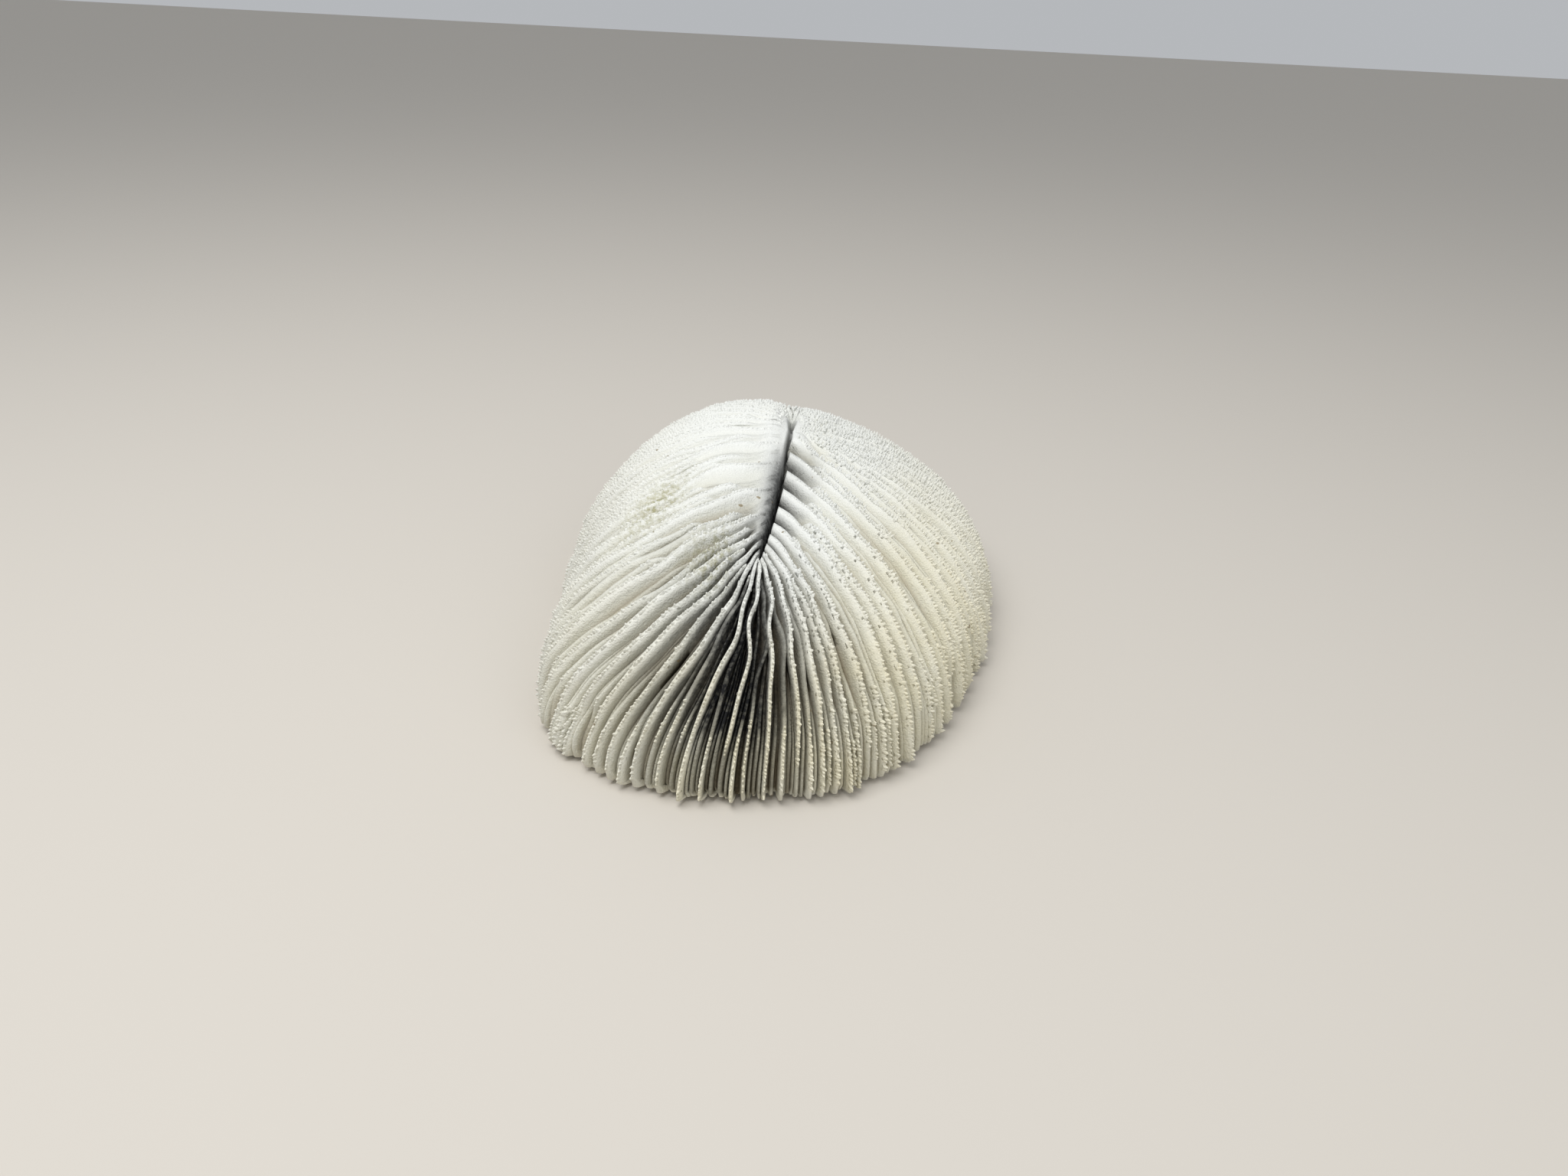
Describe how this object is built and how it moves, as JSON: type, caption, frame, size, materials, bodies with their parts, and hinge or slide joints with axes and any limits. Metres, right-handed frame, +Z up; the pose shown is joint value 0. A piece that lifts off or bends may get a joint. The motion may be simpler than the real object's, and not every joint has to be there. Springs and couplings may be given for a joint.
{
  "type": "mushroom coral",
  "caption": "Bleached mushroom coral skeleton: a high oval dome with a long furrow on top, toothed upright plates fanning out to a lobed rim, and a flat underside.",
  "frame": {"origin": "middle of the object's box in plan, on the plane that the underside rests on", "axes": "+Z up from the underside to the crown, +Y along the long side, away from the picture's viewer, +X to the picture's right"},
  "size_m": [0.1176, 0.171, 0.0482],
  "materials": {
    "coral_skeleton": "dry chalky white, granular, grey to brown in the deep gaps"
  },
  "bodies": {
    "root": {"mushroom_coral": "coral_skeleton"}
  },
  "joints": []
}
